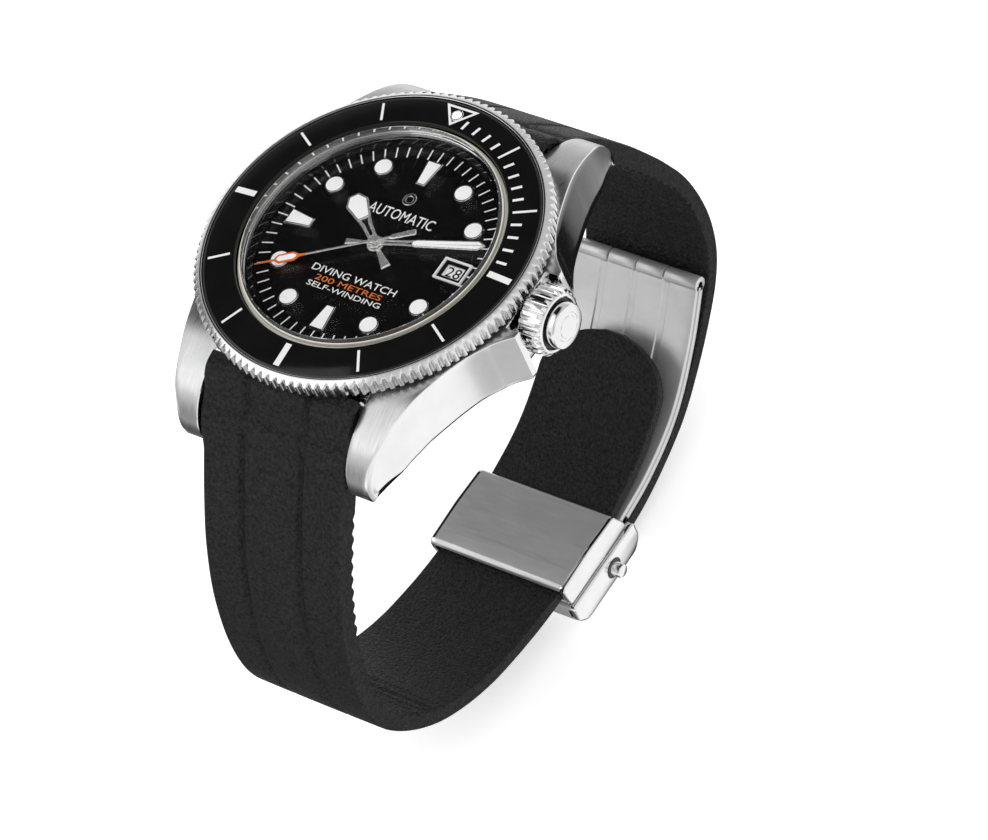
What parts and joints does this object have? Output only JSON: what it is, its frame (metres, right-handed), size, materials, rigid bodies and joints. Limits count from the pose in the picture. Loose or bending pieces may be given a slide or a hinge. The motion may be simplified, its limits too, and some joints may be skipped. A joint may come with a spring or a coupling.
{
  "type": "dive watch",
  "caption": "Steel dive watch on a rubber strap closed by a folding clasp, with a toothed turning bezel, screw-down crown, date window and self-winding movement.",
  "frame": {"origin": "centre of the case back's outer face", "axes": "+Z out of the dial, +Y to 12 o'clock, +X to the crown at 3 o'clock"},
  "size_m": [0.0464, 0.0756, 0.0659],
  "materials": {
    "steel": "polished stainless steel",
    "brushed_steel": "brushed stainless steel",
    "bezel_ceramic": "gloss black ceramic",
    "dial_lacquer": "gloss black lacquer",
    "rubber": "fine grained matte rubber",
    "sapphire": "clear sapphire with antireflection coating",
    "lume": "white luminous filling",
    "nylon": "natural nylon",
    "rhodium": "rhodium plated",
    "brass": "gilt brass",
    "orange_lacquer": "orange lacquer"
  },
  "bodies": {
    "case": {"case_middle": "steel", "case_back": "steel", "case_back_gasket": "rubber", "crystal": "sapphire", "crystal_gasket": "nylon", "rehaut_ring": "dial_lacquer", "crown_tube": "steel", "spring_bar_12": "steel", "spring_bar_6": "steel", "bezel_click_spring": "steel", "dial": "dial_lacquer", "date_window_frame": "lume", "movement_holder": "nylon", "mainplate": "rhodium", "train_bridge": "rhodium", "balance_bridge": "rhodium", "pallet_bridge": "rhodium", "barrel_arbor": "steel", "rotor_bearing": "steel", "strap_end_6": "rubber", "strap_end_12": "rubber"},
    "bezel": {"bezel_ring": "steel", "bezel_insert": "bezel_ceramic", "bezel_pip": "lume"},
    "seconds": {"seconds_hand": "orange_lacquer", "fourth_wheel": "brass"},
    "minutes": {"minute_hand": "rhodium", "cannon_pinion": "steel", "centre_wheel": "brass"},
    "hours": {"hour_hand": "rhodium", "hour_wheel": "brass"},
    "minute_wheel": {"minute_wheel": "brass"},
    "third_wheel": {"third_wheel": "brass"},
    "escape_wheel": {"escape_wheel": "steel"},
    "barrel": {"barrel_drum": "brass", "mainspring": "steel"},
    "pallet_fork": {"pallet_fork": "steel"},
    "balance": {"balance_wheel": "brass", "balance_staff": "steel", "hairspring": "steel"},
    "date": {"date_ring": "lume"},
    "rotor": {"rotor": "steel"},
    "clutch": {"clutch_wheel": "steel"},
    "crown": {"crown": "steel", "crown_gasket": "rubber", "winding_stem": "steel"},
    "long_strap": {"strap_6": "rubber", "clasp_frame": "brushed_steel", "strap_stud": "steel", "clasp_blade_inner": "brushed_steel"},
    "short_strap": {"strap_12": "rubber", "cover_spring_bar": "steel"},
    "clasp_cover": {"clasp_cover": "steel", "clasp_blade_outer": "brushed_steel", "clasp_hinge_pin": "steel"},
    "button_crown_side": {"button_crown_side": "steel"},
    "button_far_side": {"button_far_side": "steel"}
  },
  "joints": [
    {"name": "bezel_turn", "type": "hinge", "parent": "case", "child": "bezel", "pos_m": [0, 0, 0.011], "axis": [0, 0, 1], "continuous": true},
    {"name": "seconds_turn", "type": "hinge", "parent": "case", "child": "seconds", "pos_m": [0, 0, 0.00946], "axis": [0, 0, 1], "continuous": true},
    {"name": "minutes_turn", "type": "hinge", "parent": "case", "child": "minutes", "pos_m": [0, 0, 0.0091], "axis": [0, 0, 1], "continuous": true},
    {"name": "hours_turn", "type": "hinge", "parent": "case", "child": "hours", "pos_m": [0, 0, 0.0088], "axis": [0, 0, 1], "continuous": true},
    {"name": "minute_wheel_turn", "type": "hinge", "parent": "case", "child": "minute_wheel", "pos_m": [-0.00056, 0.0032, 0.0075], "axis": [0, 0, 1], "continuous": true},
    {"name": "third_wheel_turn", "type": "hinge", "parent": "case", "child": "third_wheel", "pos_m": [0.00432, 0.00157, 0.0045], "axis": [0, 0, 1], "continuous": true},
    {"name": "escape_wheel_turn", "type": "hinge", "parent": "case", "child": "escape_wheel", "pos_m": [-0.00156, -0.00428, 0.004], "axis": [0, 0, 1], "continuous": true},
    {"name": "barrel_turn", "type": "hinge", "parent": "case", "child": "barrel", "pos_m": [-0.00548, 0.00316, 0.0045], "axis": [0, 0, 1], "continuous": true},
    {"name": "pallet_fork_rock", "type": "hinge", "parent": "case", "child": "pallet_fork", "pos_m": [0.0012, -0.00547, 0.0043], "axis": [0, 0, 1], "range_deg": [-5, 5]},
    {"name": "balance_swing", "type": "hinge", "parent": "case", "child": "balance", "pos_m": [0.0038, -0.0066, 0.0054], "axis": [0, 0, 1], "range_deg": [-150, 150]},
    {"name": "date_turn", "type": "hinge", "parent": "case", "child": "date", "pos_m": [0, 0, 0.00765], "axis": [0, 0, 1], "continuous": true},
    {"name": "rotor_turn", "type": "hinge", "parent": "case", "child": "rotor", "pos_m": [0, 0, 0.0022], "axis": [0, 0, 1], "continuous": true},
    {"name": "crown_turn", "type": "hinge", "parent": "case", "child": "clutch", "pos_m": [0.009, 0, 0.00665], "axis": [1, 0, 0], "continuous": true},
    {"name": "crown_pull", "type": "slide", "parent": "clutch", "child": "crown", "axis": [1, 0, 0], "range_m": [0, 0.002]},
    {"name": "short_strap_swing", "type": "hinge", "parent": "case", "child": "short_strap", "pos_m": [0, 0.0223, 0.0034], "axis": [1, 0, 0], "range_deg": [0, 60]},
    {"name": "long_strap_swing", "type": "hinge", "parent": "case", "child": "long_strap", "pos_m": [0, -0.0223, 0.0034], "axis": [1, 0, 0], "range_deg": [-18, 0]},
    {"name": "clasp_unfold", "type": "hinge", "parent": "long_strap", "child": "clasp_cover", "pos_m": [0, 0.0336, -0.0339], "axis": [1, 0, 0], "range_deg": [0, 30]},
    {"name": "button_crown_side_press", "type": "slide", "parent": "clasp_cover", "child": "button_crown_side", "axis": [-1, 0, 0], "range_m": [0, 0.0008], "stiffness_N_per_m": 300, "springref_m": -0.0005},
    {"name": "button_far_side_press", "type": "slide", "parent": "clasp_cover", "child": "button_far_side", "axis": [1, 0, 0], "range_m": [0, 0.0008], "stiffness_N_per_m": 300, "springref_m": -0.0005}
  ],
  "couplings": [
    {"joint": "minutes_turn", "follows": "seconds_turn", "ratio": 0.016667},
    {"joint": "hours_turn", "follows": "seconds_turn", "ratio": 0.0013889},
    {"joint": "minute_wheel_turn", "follows": "seconds_turn", "ratio": -0.0055556},
    {"joint": "third_wheel_turn", "follows": "seconds_turn", "ratio": -0.125},
    {"joint": "escape_wheel_turn", "follows": "seconds_turn", "ratio": -9},
    {"joint": "barrel_turn", "follows": "seconds_turn", "ratio": -0.003125},
    {"joint": "long_strap_swing", "follows": "short_strap_swing", "ratio": -0.3},
    {"joint": "clasp_unfold", "follows": "short_strap_swing", "ratio": 0.5}
  ]
}
